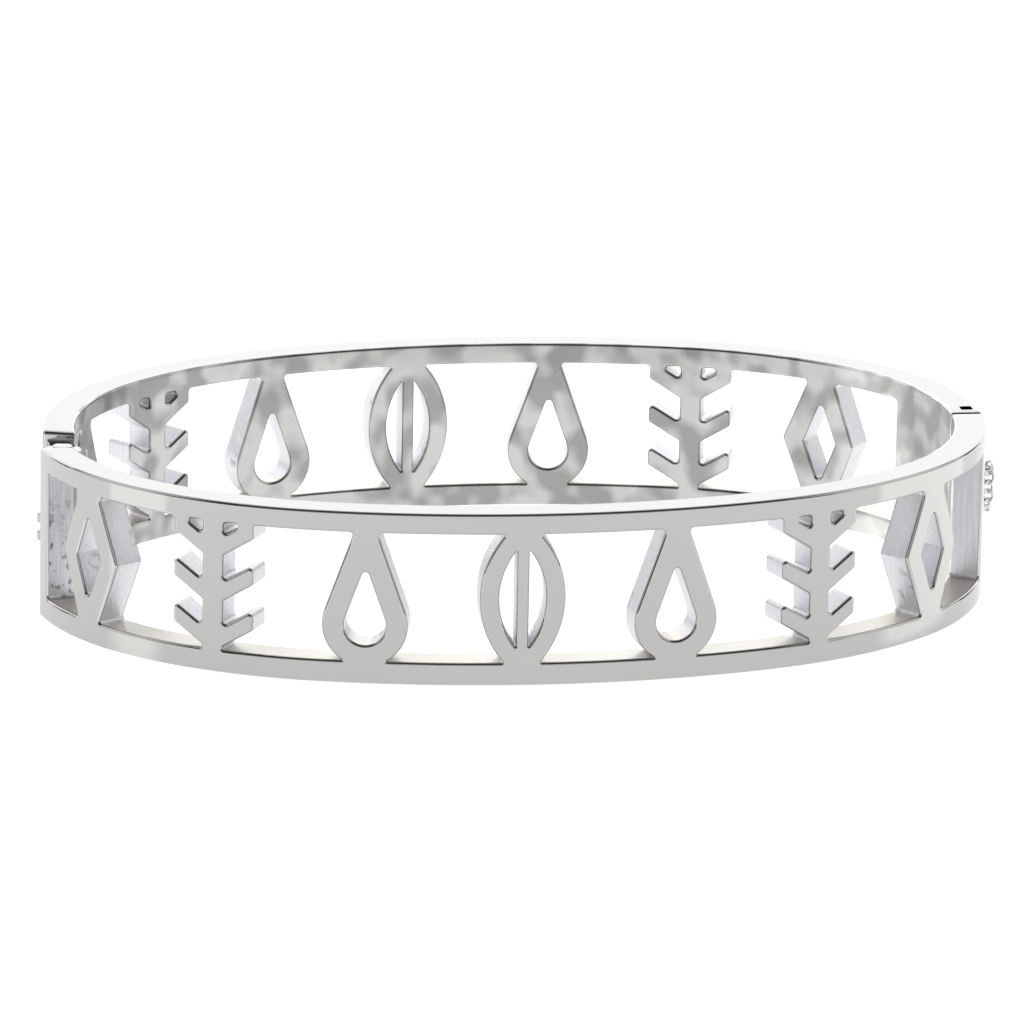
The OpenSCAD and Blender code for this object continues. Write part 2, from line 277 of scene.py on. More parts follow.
def oval_place(band, reach, s):
    """The same on the whole half at +Y, where s is positive towards the clasp."""
    if s >= 0:
        return quarter_place(oval_arcs(band, band.clasp_reach), s)
    place, angle, radius = quarter_place(oval_arcs(band, reach), -s)
    return np.array([-place[0], place[1]]), math.pi - angle, radius


def end_place(band, reach, depth, point, direction, clasp):
    """Where the line through point cuts the face at a depth, as a length along the outer face."""
    arcs = oval_arcs(band, band.clasp_reach if clasp else reach)
    centre, radius = arcs[0][0], arcs[0][1]
    if not clasp:
        centre = np.array([-centre[0], 0.0])
    inner = radius - depth
    start = point - centre
    along = start @ direction
    root = math.sqrt(along ** 2 - start @ start + inner ** 2)
    hits = [start + (k - along) * direction for k in (root, -root)]
    hit = max(hits, key=lambda p: p[0] if clasp else -p[0])
    angle = math.atan2(hit[1], hit[0] if clasp else -hit[0])
    quarter = sum(r * (high - low) for _, r, low, high in arcs)
    s = quarter - radius * angle
    return s if clasp else -s


# Outlines of the openwork, drawn flat with x along the band and y from the window's middle


def lozenge_outline(half_w, half_h, bar):
    foot = FOOT * bar
    return [(foot, -half_h), (half_w, 0.0), (foot, half_h)]


def feather_outline(half_w, half_h, bar):
    slope, root, thick, first, last = feather_sizes(half_w, half_h, bar)
    points = [(bar / 2, -half_h)]
    for k in range(3):
        low = first + (last - first) * k / 2
        lift = (bar / 2 - root) * slope
        tip = low + (half_w - root) * slope
        points += [(bar / 2, low + lift), (half_w, tip)]
        if k < 2:
            points += [(half_w, tip + thick), (bar / 2, low + lift + thick)]
    return points + [(half_w, half_h)]


def feather_sizes(half_w, half_h, bar):
    """Slope of the barbs, where they leave the rib, their upright thickness, first and last."""
    slope, root, thick = math.tan(BARB_SLANT), bar / 4, BARB * bar / math.cos(BARB_SLANT)
    return slope, root, thick, -half_h, half_h - (half_w - root) * slope - thick + RAIL_LAP


def arc_points(centre, radius, start, end, steps):
    """Points of an arc, both ends included."""
    angles = np.linspace(start, end, steps + 1)
    return [(centre[0] + radius * math.cos(a), centre[1] + radius * math.sin(a)) for a in angles]


def drop_sizes(half_w, half_h):
    """Middle of the drop's round end, and the height of its point over that."""
    low = -half_h + half_w - RAIL_LAP
    return low, DROP_POINT * half_h - low


def drop_outline(half_w, half_h, bar):
    low, tip = drop_sizes(half_w, half_h)
    spread = math.asin(half_w / tip)
    arc = arc_points((0.0, low), half_w, math.asin((-half_h - low) / half_w), spread, steps=28)
    return arc + [(half_w * (tip - half_h + low) / (tip * math.cos(spread)), half_h)]


def leaf_radius(half_w, half_h):
    tall = LEAF_TALL * half_h
    return (tall ** 2 + half_w ** 2) / (2 * half_w)


def leaf_outline(half_w, half_h, bar):
    radius = leaf_radius(half_w, half_h)
    reach = math.asin(half_h / radius)
    return arc_points((half_w - radius, 0.0), radius, -reach, reach, steps=28)


OUTLINES = {"lozenge": lozenge_outline, "feather": feather_outline, "drop": drop_outline,
            "leaf": leaf_outline}


def mirrored(points):
    """The other side of an outline, in the other order, so that a loop still runs one way."""
    return [(-x, y) for x, y in reversed(points)]


def motif_holes(kind, half_w, half_h, bar):
    """Holes inside one motif, as loops that run counterclockwise."""
    if kind == "lozenge":
        tall = half_h / (1 - FOOT * bar / half_w)
        inner = 1 - bar * math.hypot(half_w, tall) / (half_w * tall)
        wide, tall = half_w * inner, tall * inner
        return [[(wide, 0.0), (0.0, tall), (-wide, 0.0), (0.0, -tall)]]
    if kind == "feather":
        slope, root, thick, _, last = feather_sizes(half_w, half_h, bar)
        low = last + thick + (bar / 2 - root) * slope
        wide = root + (half_h - last - thick) / slope
        side = [(bar / 2, low), (wide, half_h), (bar / 2, half_h)]
        return [side, mirrored(side)]
    if kind == "drop":
        low, tip = drop_sizes(half_w, half_h)
        radius, point = half_w - bar, tip - bar * tip / half_w
        spread = math.asin(radius / point)
        arc = arc_points((0.0, low), radius, -math.pi - spread, spread, steps=40)
        return [arc + [(0.0, low + point)]]
    edge, rib = LEAF_EDGE * bar, LEAF_RIB * bar / 2
    radius = leaf_radius(half_w, half_h) - edge
    middle = half_w - edge - radius
    reach = math.acos((rib - middle) / radius)
    side = arc_points((middle, 0.0), radius, -reach, reach, steps=24)
    return [side, mirrored(side)]


def rounded(points, radius):
    """The loop with its corners rounded. A nearly straight corner stays as it is."""
    loop = []
    for i, point in enumerate(points):
        here = np.array(point)
        back, ahead = np.array(points[i - 1]) - here, np.array(points[(i + 1) % len(points)]) - here
        lengths = np.linalg.norm(back), np.linalg.norm(ahead)
        back, ahead = back / lengths[0], ahead / lengths[1]
        bend = math.pi - math.acos(max(-1.0, min(1.0, back @ ahead)))
        if bend < NEARLY_STRAIGHT:
            loop.append(tuple(here))
            continue
        tangent = min(radius * math.tan(bend / 2), CORNER_SHARE * min(lengths))
        fillet = tangent / math.tan(bend / 2)
        centre = here + (back + ahead) * fillet / math.sin(math.pi - bend)
        first, last = here + back * tangent - centre, here + ahead * tangent - centre
        start = math.atan2(first[1], first[0])
        sweep = math.atan2(first[0] * last[1] - first[1] * last[0], first @ last)
        steps = max(3, round(math.degrees(abs(sweep)) / CORNER_STEP))
        loop += arc_points(centre, fillet, start, start + sweep, steps)
    return loop


def subdivided(points, spacing):
    """The loop with points added so that none are further apart than spacing."""
    loop = []
    for here, ahead in zip(points, points[1:] + points[:1]):
        steps = max(1, math.ceil(math.dist(here, ahead) / spacing))
        loop += [(here[0] + (ahead[0] - here[0]) * k / steps,
                  here[1] + (ahead[1] - here[1]) * k / steps) for k in range(steps)]
    return loop


# A slab of any outline with rounded edges


def loop_normals(loop):
    """Normals at the points of a loop, to its right as it runs, and the mitre's stretch."""
    points = np.array(loop)
    ahead = np.roll(points, -1, axis=0) - points
    ahead /= np.linalg.norm(ahead, axis=1)[:, None]
    sides = np.stack([ahead[:, 1], -ahead[:, 0]], axis=1)
    both = sides + np.roll(sides, 1, axis=0)
    both /= np.linalg.norm(both, axis=1)[:, None]
    longest = 2
    stretch = 1 / np.maximum(1 / longest, (both * sides).sum(axis=1))
    return both, stretch


def inside(points, loop):
    """Which of the points lie inside the loop."""
    x, y = points[:, 0], points[:, 1]
    found = np.zeros(len(points), bool)
    ring = np.array(loop)
    for (x1, y1), (x2, y2) in zip(ring, np.roll(ring, -1, axis=0)):
        if y1 != y2:
            crosses = (y1 > y) != (y2 > y)
            found ^= crosses & (x < (x2 - x1) * (y - y1) / (y2 - y1) + x1)
    return found


def grid_inside(loops, spacing, clear):
    """Points of an even grid that lie in the first loop, outside the others and clear of all."""
    outer = np.array(loops[0])
    low, high = outer.min(axis=0), outer.max(axis=0)
    xs = np.arange(low[0] + spacing / 2, high[0], spacing)
    ys = np.arange(low[1] + spacing / 2, high[1], spacing)
    grid = np.stack(np.meshgrid(xs, ys), axis=-1).reshape(-1, 2)
    keep = inside(grid, loops[0])
    for hole in loops[1:]:
        keep &= ~inside(grid, hole)
    edges = np.concatenate([np.array(loop) for loop in loops])
    grid = grid[keep]
    far = np.array([np.min(np.hypot(*(edges - p).T)) > clear for p in grid], bool)
    return grid[far] if len(grid) else grid


class Mesh:
    """Points, their normals, and faces with a mark on the walls of cuts."""

    def __init__(self):
        self.points, self.normals, self.faces, self.marks = [], [], [], []

    def add(self, points, normals, faces, marks):
        start = len(self.points)
        self.points += [tuple(p) for p in points]
        self.normals += [tuple(n) for n in normals]
        self.faces += [tuple(start + i for i in face) for face in faces]
        self.marks += list(marks)

    def join(self, other):
        self.add(other.points, other.normals, other.faces, other.marks)

    def placed(self, move):
        """Puts every point where move takes it. move also turns the normals."""
        pairs = [move(Vector(p), Vector(n)) for p, n in zip(self.points, self.normals)]
        self.points = [tuple(p) for p, _ in pairs]
        self.normals = [tuple(n) for _, n in pairs]
        return self

    def object(self, name):
        data = bpy.data.meshes.new(name)
        data.from_pydata(self.points, [], self.faces)
        corners = [i for face in self.faces for i in face]
        shade = data.attributes.new(SHADE, "FLOAT_VECTOR", "CORNER")
        shade.data.foreach_set("vector", np.array(self.normals, np.float32)[corners].ravel())
        mark = data.attributes.new(SURFACE, "FLOAT", "FACE")
        mark.data.foreach_set("value", np.array(self.marks, np.float32))
        return new_object(name, data)


def slab(outer, holes, thick, edge, spacing, cut_walls=True):
    """A plate from y = 0 to y = thick, with rounded edges all round.

    Its outlines are drawn in x and z and run counterclockwise, seen from -Y."""
    mesh = Mesh()
    loops = [subdivided(outer, spacing)] + [subdivided(hole, spacing) for hole in holes]
    turns = [math.pi / 2 * k / EDGE_STEPS for k in range(EDGE_STEPS + 1)]
    levels = [(edge * (1 - math.sin(a)), edge * (1 - math.cos(a)), a) for a in turns]
    levels += [(inset, thick - depth, math.pi - a) for inset, depth, a in reversed(levels)]
    face_loops, starts = [], []
    for number, loop in enumerate(loops):
        normals, stretch = loop_normals(loop)
        if number:
            normals = -normals
        loop = np.array(loop)
        starts.append(len(mesh.points))
        size = len(loop)
        points, shades = [], []
        for inset, depth, a in levels:
            ring = loop - normals * (inset * stretch)[:, None]
            if not points:
                face_loops.append([tuple(p) for p in ring])
            points += [(x, depth, z) for x, z in ring]
            shades += [(x * math.sin(a), -math.cos(a), z * math.sin(a)) for x, z in normals]
        faces, marks = [], []
        for level in range(len(levels) - 1):
            for i in range(size):
                j = (i + 1) % size
                quad = (level * size + i, level * size + j,
                        (level + 1) * size + j, (level + 1) * size + i)
                faces.append(quad if number else quad[::-1])
                mark = PLAIN
                if cut_walls and level > EDGE_STEPS:
                    mark = INNER
                elif number and cut_walls and level == EDGE_STEPS:
                    steep = abs(normals[i][1] + normals[j][1]) < 2 * FLAT_WALL
                    mark = UPRIGHT if steep else LEVEL
                marks.append(mark)
        mesh.add(points, shades, faces, marks)
    add_plates(mesh, face_loops, starts, thick, len(levels), spacing, cut_walls)
    return mesh


def add_plates(mesh, loops, starts, thick, levels, spacing, cut_walls):
    """The two flat faces of a slab, triangulated between its loops."""
    plan, edges, owner = [], [], []
    for loop, start in zip(loops, starts):
        first = len(plan)
        plan += loop
        size = len(loop)
        edges += [(first + i, first + (i + 1) % size) for i in range(size)]
        owner += [(start + i, start + (levels - 1) * size + i) for i in range(size)]
    grid = grid_inside(loops, spacing, clear=0.45 * spacing)
    extra = len(mesh.points)
    plan += [tuple(p) for p in grid]
    count = len(grid)
    for depth, out in ((0.0, -1), (thick, 1)):
        mesh.add([(x, depth, z) for x, z in grid], [(0, out, 0)] * count, [], [])
    owner += [(extra + i, extra + count + i) for i in range(count)]
    scale = 1 / MM
    flat = [Vector((x * scale, z * scale)) for x, z in plan]
    inside_only, same_place = 1, 1e-6
    verts, _, faces, origin, _, _ = delaunay_2d_cdt(flat, edges, [], inside_only, same_place)
    if len(verts) != len(plan):
        raise RuntimeError(f"the outline has {len(plan) - len(verts)} doubled points")
    centres = np.array([sum((verts[i] for i in f), Vector((0, 0))) / 3 for f in faces])
    keep = np.ones(len(faces), bool)
    for loop in loops[1:]:
        keep &= ~inside(centres, np.array(loop) * scale)
    for face, kept in zip(faces, keep):
        if kept:
            a, b, c = (origin[i][0] for i in face)
            mesh.faces.append((owner[a][0], owner[b][0], owner[c][0]))
            mesh.faces.append((owner[c][1], owner[b][1], owner[a][1]))
            mesh.marks += [PLAIN, INNER if cut_walls else PLAIN]


# The two halves of the band


def seam_line(clasp, side):
    """A point and the direction of the seam's face of one half. side is 1 on the back half."""
    return np.array([0.0, clasp.seam + side * clasp.seam_gap / 2]), np.array([1.0, 0.0])


def hinge_line(hinge, side):
    """A point and the direction of the slanted end face of one half."""
    end, slant = hinge_end(hinge, side)
    return np.array([hinge.x, hinge.y + end]), np.array([math.cos(slant), -math.sin(slant)])


def hinge_end(hinge, side):
    """Distance of an end face from the axis along Y, minus in front, and its slant."""
    if side > 0:
        return hinge.back_end, hinge.back_slant
    return -hinge.front_end, hinge.front_slant


class HalfPlan:
    """Where the flat sheet of one half lies on the oval. side is 1 on the back half."""

    def __init__(self, side):
        self.band, self.work, hinge, clasp, _, _ = settings()
        self.side = side
        if side > 0:
            self.reach, shift = self.band.back_reach, self.work.back_shift
            self.first, self.last = self.work.back_from, self.work.back_to
        else:
            self.reach, shift = self.band.front_reach, self.work.front_shift
            self.first, self.last = self.work.front_from, self.work.front_to
        self.lines = (hinge_line(hinge, side), seam_line(clasp, side))
        self.ends = (self.end(0.0, False), self.end(0.0, True))
        middle = (len(MOTIFS) - 1) / 2
        self.centres = [shift + (i - middle) * self.work.pitch for i in range(len(MOTIFS))]
        self.depths = np.linspace(0.0, self.band.wall, num=10)
        self.end_steps = [[self.end(depth, clasp_end) for depth in self.depths]
                          for clasp_end in (False, True)]
        self.knots = self.warp_knots()

    def end(self, depth, clasp_end):
        """Length along the outer face at which an end face lies at a depth inside it."""
        point, direction = self.lines[clasp_end]
        flip = np.array([1.0, self.side])
        return end_place(self.band, self.reach, depth, point * flip, direction * flip, clasp_end)

    def warp_knots(self):
        """Where the motifs' and the windows' walls lie on the outer face, and on the inner one.

        They run square to the face at each motif's middle, so they draw together inside."""
        half_w = self.work.motif / 2
        outside, inside_face = [], []
        stops = [((self.first + self.centres[0] - half_w) / 2, self.first)]
        stops += [(c, c + k * half_w) for c in self.centres for k in (-1, 1)]
        stops += [((self.last + self.centres[-1] + half_w) / 2, self.last)]
        for centre, s in stops:
            radius = oval_place(self.band, self.reach, centre)[2]
            outside.append(s)
            inside_face.append(centre + (s - centre) / (1 - self.band.wall / radius))
        return np.array(outside), np.array(inside_face)

    def flat_place(self, s, depth):
        """Length along the outer face at which a point of the sheet lies at a depth."""
        outside, inside_face = self.knots
        deep = depth / self.band.wall
        if self.first <= s <= self.last:
            return s + deep * (np.interp(s, outside, inside_face) - s)
        clasp_end = int(s > self.last)
        edge, end = (self.first, self.last)[clasp_end], self.ends[clasp_end]
        weight = (s - edge) / (end - edge)
        step = np.interp(depth, self.depths, self.end_steps[clasp_end]) - end
        knot = inside_face[-clasp_end] - outside[-clasp_end]
        return s + weight * step + (1 - weight) * deep * knot

    def settle(self, point, normal):
        """Moves a point of the sheet to its length along the face, and turns its normal."""
        s, depth = point.x * self.turn(), point.y
        tiny = 1e-6
        here = self.flat_place(s, depth)
        along = (self.flat_place(s + tiny, depth) - self.flat_place(s - tiny, depth)) / (2 * tiny)
        low, high = max(0.0, depth - tiny), min(self.band.wall, depth + tiny)
        deeper = (self.flat_place(s, high) - self.flat_place(s, low)) / (high - low)
        radius = oval_place(self.band, self.reach, here)[2]
        nx = normal.x * self.turn() / along
        ny = normal.y - nx * deeper
        nx /= 1 - depth / radius
        turned = Vector((nx * self.turn(), ny, normal.z)).normalized()
        return Vector((here * self.turn(), depth, point.z)), turned

    def turn(self):
        """1 where the sheet runs towards the clasp, and -1 on the back half, where it returns."""
        return -self.side

    def holes(self):
        """All the windows of the sheet, as loops in s and z."""
        work, band = self.work, self.band
        half_w = work.motif / 2
        half_h = (band.height - work.low_rail - work.top_rail) / 2
        middle = work.low_rail + half_h
        loops = []
        left = [(self.first, -half_h), (self.first, half_h)]
        for kind, centre in zip(MOTIFS, self.centres):
            outline = OUTLINES[kind](half_w, half_h, work.bar)
            right = [(centre - x, y) for x, y in outline]
            loops.append(right + left[::-1])
            left = [(centre + x, y) for x, y in outline]
            loops += [[(centre + x, y) for x, y in hole]
                      for hole in motif_holes(kind, half_w, half_h, work.bar)]
        loops.append([(self.last, -half_h), (self.last, half_h)] + left[::-1])
        return [[(x, y + middle) for x, y in rounded(loop, band.corner)] for loop in loops]

    def sheet(self):
        """The flat sheet, with its windows and rounded edges."""
        band = self.band
        low, high = self.ends
        rim = [(low, 0.0), (high, 0.0), (high, band.height), (low, band.height)]
        loops = [rounded(rim, band.corner)] + self.holes()
        if self.turn() < 0:
            loops = [mirrored(loop) for loop in loops]
        made = slab(loops[0], loops[1:], band.wall, band.edge, band.grid)
        return made.placed(self.settle)

    def rim_line(self):
        """The outer line of the oval, as a curve that the sheet is bent along, and its start."""
        past = 3 * MM
        stops = np.linspace(self.ends[0] - past, self.ends[1] + past, num=700)[::self.turn()]
        places = [oval_place(self.band, self.reach, s)[0] for s in stops]
        line = poly_line("rim_line", [(x, y * self.side, 0.0) for x, y in places])
        return line, stops[0] * self.turn()


# Geometry Nodes


class Nodes:
    """Adds nodes to a tree and joins them."""

    def __init__(self, tree):
        self.tree = tree

    def feed(self, node, links):
        """Sets a node's inputs. links is socket name or number to a socket or a plain value."""
        for key, source in links.items():
            if isinstance(source, bpy.types.NodeSocket):
                self.tree.links.new(source, node.inputs[key])
            else:
                node.inputs[key].default_value = source
        return node

    def node(self, kind, links=None, **values):
        """A new node with its inputs set."""
        made = self.tree.nodes.new(kind)
        for key, value in values.items():
            setattr(made, key, value)
        return self.feed(made, links or {})

    def out(self, kind, links=None, **values):
        """The first output of a new node."""
        return self.node(kind, links, **values).outputs[0]

    def math(self, operation, a, b=0.0):
        return self.out("ShaderNodeMath", {0: a, 1: b}, operation=operation)

    def vector(self, operation, a, b, output=0):
        return self.node("ShaderNodeVectorMath", {0: a, 1: b}, operation=operation).outputs[output]


class Tree(Nodes):
    """A Geometry Nodes group with named inputs, each given with its kind of socket."""

    def __init__(self, name, sockets, result):
        super().__init__(bpy.data.node_groups.new(name, "GeometryNodeTree"))
        sides = [(label, "INPUT", kind) for label, kind in sockets.items()]
        for label, side, kind in sides + [(result, "OUTPUT", "Geometry")]:
            self.tree.interface.new_socket(label, in_out=side, socket_type="NodeSocket" + kind)
        self.inputs = self.tree.nodes.new("NodeGroupInput").outputs
        self.end = self.tree.nodes.new("NodeGroupOutput")

    def scaled(self, vector, factor):
        return self.out("ShaderNodeVectorMath", {0: vector, "Scale": factor}, operation="SCALE")

    def lifted(self, z):
        """A vector along Z."""
        return self.out("ShaderNodeCombineXYZ", {2: z})

    def on_line(self, line, along):
        """A place on a curve object, and the curve's direction there."""
        curve = self.node("GeometryNodeObjectInfo", {"Object": line}).outputs["Geometry"]
        sample = self.node("GeometryNodeSampleCurve", {"Curves": curve, "Length": along},
                           mode="LENGTH").outputs
        return sample["Position"], sample["Tangent"]

    def finish(self, geometry, metal):
        """Ends the tree with Realize Instances and Set Material."""
        real = self.out("GeometryNodeRealizeInstances", {0: geometry})
        done = self.out("GeometryNodeSetMaterial", {"Geometry": real, "Material": metal})
        self.feed(self.end, {0: done})
        return self.tree


def bend_tree():
    """Bends a flat sheet round the oval. Its x runs along the line, and its y goes inwards."""
    tree = Tree("bend_round_oval", {"Sheet": "Geometry", "Rim line": "Object",
                                    "Line start": "Float", "Metal": "Material"}, "Half")
    place = tree.out("GeometryNodeInputPosition")
    x, y, z = tree.node("ShaderNodeSeparateXYZ", {0: place}).outputs
    along = tree.math("SUBTRACT", x, tree.inputs["Line start"])
    on_rim, ahead = tree.on_line(tree.inputs["Rim line"], along)
    inwards = tree.vector("CROSS_PRODUCT", (0.0, 0.0, 1.0), ahead)
    bent = tree.vector("ADD", on_rim, tree.scaled(inwards, y))
    bent = tree.vector("ADD", bent, tree.lifted(z))
    shade = tree.out("GeometryNodeInputNamedAttribute", {"Name": SHADE}, data_type="FLOAT_VECTOR")
    x, y, z = tree.node("ShaderNodeSeparateXYZ", {0: shade}).outputs
    turned = tree.vector("ADD", tree.scaled(ahead, x), tree.scaled(inwards, y))
    turned = tree.vector("ADD", turned, tree.lifted(z))
    stored = tree.out("GeometryNodeStoreNamedAttribute",
                      {"Geometry": tree.inputs["Sheet"], "Name": SHADE, "Value": turned},
                      data_type="FLOAT_VECTOR", domain="CORNER")
    moved = tree.out("GeometryNodeSetPosition", {"Geometry": stored, "Position": bent})
    return tree.finish(moved, tree.inputs["Metal"])


def chain_tree():
    """Links along a path, each turned against the next."""
    tree = Tree("links_on_path", {"Path": "Object", "Links": "Int", "Pitch": "Float",
                                  "Link shape": "Vector", "Twist": "Float",
                                  "Wire radius": "Float", "Ring sides": "Int",
                                  "Wire sides": "Int", "Metal": "Material"}, "Chain")
    given = tree.inputs
    number = tree.out("GeometryNodeInputIndex")
    place, ahead = tree.on_line(given["Path"], tree.math("MULTIPLY", number, given["Pitch"]))
    points = tree.out("GeometryNodePoints", {"Count": given["Links"], "Position": place})
    ring, wire = (tree.out("GeometryNodeCurvePrimitiveCircle",
                           {"Resolution": given[sides], "Radius": radius})
                  for sides, radius in (("Ring sides", 1.0), ("Wire sides", given["Wire radius"])))
    oval = tree.out("GeometryNodeTransform", {"Geometry": ring, "Scale": given["Link shape"]})
    link = tree.out("GeometryNodeCurveToMesh", {"Curve": oval, "Profile Curve": wire})
    upright = tree.out("GeometryNodeTransform", {"Geometry": link,
                                                 "Rotation": (math.pi / 2, 0.0, 0.0)})
    along_path = tree.out("FunctionNodeAxesToRotation", {0: ahead, 1: (1.0, 0.0, 0.0)},
                          primary_axis="Z", secondary_axis="X")
    odd, twice = tree.math("MODULO", number, 2.0), tree.math("MULTIPLY", given["Twist"], 2.0)
    angle = tree.math("SUBTRACT", tree.math("MULTIPLY", odd, twice), given["Twist"])
    spin = tree.out("FunctionNodeEulerToRotation", {0: tree.lifted(angle)})
    turned = tree.out("FunctionNodeRotateRotation", {0: along_path, 1: spin},
                      rotation_space="LOCAL")
    laid = tree.out("GeometryNodeInstanceOnPoints", {"Points": points, "Instance": upright,
                                                     "Rotation": turned})
    return tree.finish(laid, given["Metal"])


def run_tree(piece, group, values):
    """Puts the tree on the piece, sets its inputs, and returns the result as a plain mesh."""
    modifier = piece.modifiers.new(group.name, "NODES")
    modifier.node_group = group
    names = {item.name: item.identifier for item in group.interface.items_tree
             if item.in_out == "INPUT"}
    for label, value in values.items():
        modifier[names[label]] = value
    return baked(piece)


def baked(piece):
    """Turns the piece's modifiers into its own plain mesh."""
    bpy.context.view_layer.update()
    graph = bpy.context.evaluated_depsgraph_get()
    data = bpy.data.meshes.new_from_object(piece.evaluated_get(graph),
                                           preserve_all_data_layers=True, depsgraph=graph)
    piece.modifiers.clear()
    piece.data = data
    return piece


# Solid pieces that are joined to the band or cut out of it


def combine(piece, others, operation):
    """Adds solids to the piece or cuts them out of it, and removes them."""
    for other in others:
        modifier = piece.modifiers.new(operation.lower(), "BOOLEAN")
        modifier.operation = operation
        modifier.solver = "MANIFOLD"
        modifier.object = other
    baked(piece)
    for other in others:
        bpy.data.objects.remove(other)


def values_of(collection, key, width, kind=np.float32):
    """One value of every element of a mesh, in an array with a row for each element."""
    values = np.zeros(len(collection) * width, kind)
    collection.foreach_get(key, values)
    return values.reshape(-1, width)


def set_normals(piece):
    """Gives the mesh the normals that its corners carry. Plain cut faces keep their own."""
    data = piece.data
    shade = values_of(data.attributes[SHADE].data, "vector", 3)
    totals = values_of(data.polygons, "loop_total", 1, np.int32).ravel()
    own = np.repeat(values_of(data.polygons, "normal", 3), totals, axis=0)
    sizes = np.linalg.norm(shade, axis=1)
    shortest, least_cosine = 0.5, 0.3
    plain = (sizes < shortest) | ((shade * own).sum(axis=1) < least_cosine * sizes)
    shade[plain] = own[plain]
    shade /= np.linalg.norm(shade, axis=1)[:, None]
    data.polygons.foreach_set("use_smooth", np.ones(len(data.polygons), bool))
    data.normals_split_custom_set([tuple(n) for n in shade])
    data.attributes.remove(data.attributes[SHADE])
    data.update()


def on_plan(top):
    """A move that lays a slab flat, drawn in x and y, with its upper face at a height."""
    def move(point, normal):
        return Vector((point.x, point.z, top - point.y)), Vector((normal.x, normal.z, -normal.y))
    return move


def circle(centre, radius, steps):
    return arc_points(centre, radius, 0.0, 2 * math.pi * (1 - 1 / steps), steps - 1)


def knuckle_outline(hinge, side):
    """A knuckle with its web, whose end is parallel to the half's end face."""
    end, slant = hinge_end(hinge, side)
    reach = math.asin(hinge.web / 2 / hinge.knuckle)
    start = math.pi / 2 * side + reach
    round_part = arc_points((hinge.x, hinge.y), hinge.knuckle, start,
                            start + 2 * (math.pi - reach), steps=48)
    half = side * hinge.web / 2
    web_end = hinge.y + end + side * hinge.embed
    lean = half * math.tan(slant)
    return round_part + [(hinge.x + half, web_end - lean), (hinge.x - half, web_end + lean)]


def knuckle_level(hinge, band):
    """Height from one knuckle to the next."""
    return (band.height - 2 * hinge.inset + hinge.play) / KNUCKLES


def knuckles(side, hinge, band):
    """The knuckles of one half, in one mesh."""
    level = knuckle_level(hinge, band)
    bore = circle((hinge.x, hinge.y), hinge.bore, steps=40)
    mesh = Mesh()
    for k in range(0 if side > 0 else 1, KNUCKLES, 2):
        part = slab(knuckle_outline(hinge, side), [bore], level - hinge.play, KNUCKLE_EDGE,
                    spacing=0.5 * MM, cut_walls=False)
        mesh.join(part.placed(on_plan(hinge.inset + (k + 1) * level - hinge.play)))
    return mesh.object("knuckles")


def lugs(hinge, band):
    """The two small lugs on the middle knuckle."""
    outline = circle((hinge.x - hinge.knuckle, hinge.y), hinge.lug, steps=32)
    mesh = Mesh()
    for side in (-1, 1):
        part = slab(outline, [], hinge.lug_height, PLATE_EDGE, spacing=0.4 * MM)
        top = (band.height + side * hinge.lug_pitch + hinge.lug_height) / 2
        mesh.join(part.placed(on_plan(top)))
    return mesh.object("lugs")


def lug_relief(hinge, band):
    """Room in the front half's end face for the lugs, which pass it as the hinge opens."""
    level = knuckle_level(hinge, band)
    low = hinge.inset + (KNUCKLES - 1) / 2 * level - hinge.play / 2
    radius = hinge.knuckle + hinge.lug + hinge.lug_play
    return prism("relief", circle((hinge.x, hinge.y), radius, steps=96), low, low + level)


def tube_faces(rings, sides):
    """Faces of a tube of rings that have as many points each, with flat ends."""
    faces = [(a + k, a + (k + 1) % sides, a + sides + (k + 1) % sides, a + sides + k)
             for a in range(0, (rings - 1) * sides, sides) for k in range(sides)]
    last = (rings - 1) * sides
    return faces + [tuple(reversed(range(sides))), tuple(range(last, last + sides))]


def rod(path, radius, sides=16, dome_steps=4, dome_start=0.35):
    """A round wire along a path, with domed ends."""
    points = [Vector(p) for p in path]
    ahead = [(b - a).normalized() for a, b in zip(points, points[1:])]
    middle = [(a + b).normalized() for a, b in zip(ahead, ahead[1:])]
    first, last = ahead[0], ahead[-1]
    dome = [math.pi / 2 * (k + dome_start) / (dome_steps + dome_start) for k in range(dome_steps)]
    rings = [(points[0] - first * (radius * math.cos(a)), first, radius * math.sin(a),
              -math.cos(a)) for a in dome]
    rings += [(p, t, radius, 0.0) for p, t in zip(points, [first] + middle + [last])]
    rings += [(points[-1] + last * radius * math.cos(a), last, radius * math.sin(a),
               math.cos(a)) for a in reversed(dome)]
    side = Vector((0, 0, 1))
    places, normals = [], []
    for place, tangent, size, tilt in rings:
        side = (side - tangent * side.dot(tangent)).normalized()
        other = tangent.cross(side)
        for k in range(sides):
            a = 2 * math.pi * k / sides
            out = side * math.cos(a) + other * math.sin(a)
            places.append(place + out * size)
            normals.append((out * math.sqrt(1 - tilt ** 2) + tangent * tilt).normalized())
    faces = tube_faces(len(rings), sides)
    mesh = Mesh()
    mesh.add(places, normals, faces, [PLAIN] * len(faces))
    return mesh


def soldered_wire(name, chain, band, middle, closed):
    """A wire out of the band that is bent along Y: the closed eye, or the open hook."""
    x, root = band.clasp_reach + chain.out, band.clasp_reach - chain.post_root
    span = chain.arm + chain.bend
    first, last = (arc_points((x - chain.bend, middle + side * chain.arm), chain.bend,
                              start, start + math.pi / 2, steps=8)
                   for side, start in ((-1, -math.pi / 2), (1, 0.0)))
    tip = last + [(root, middle + span)] if closed else [(x, middle + chain.hook_tip)]
    path = [(root, middle - span)] + first + tip
    return rod([(px, py, chain.height) for px, py in path], chain.wire).object(name)


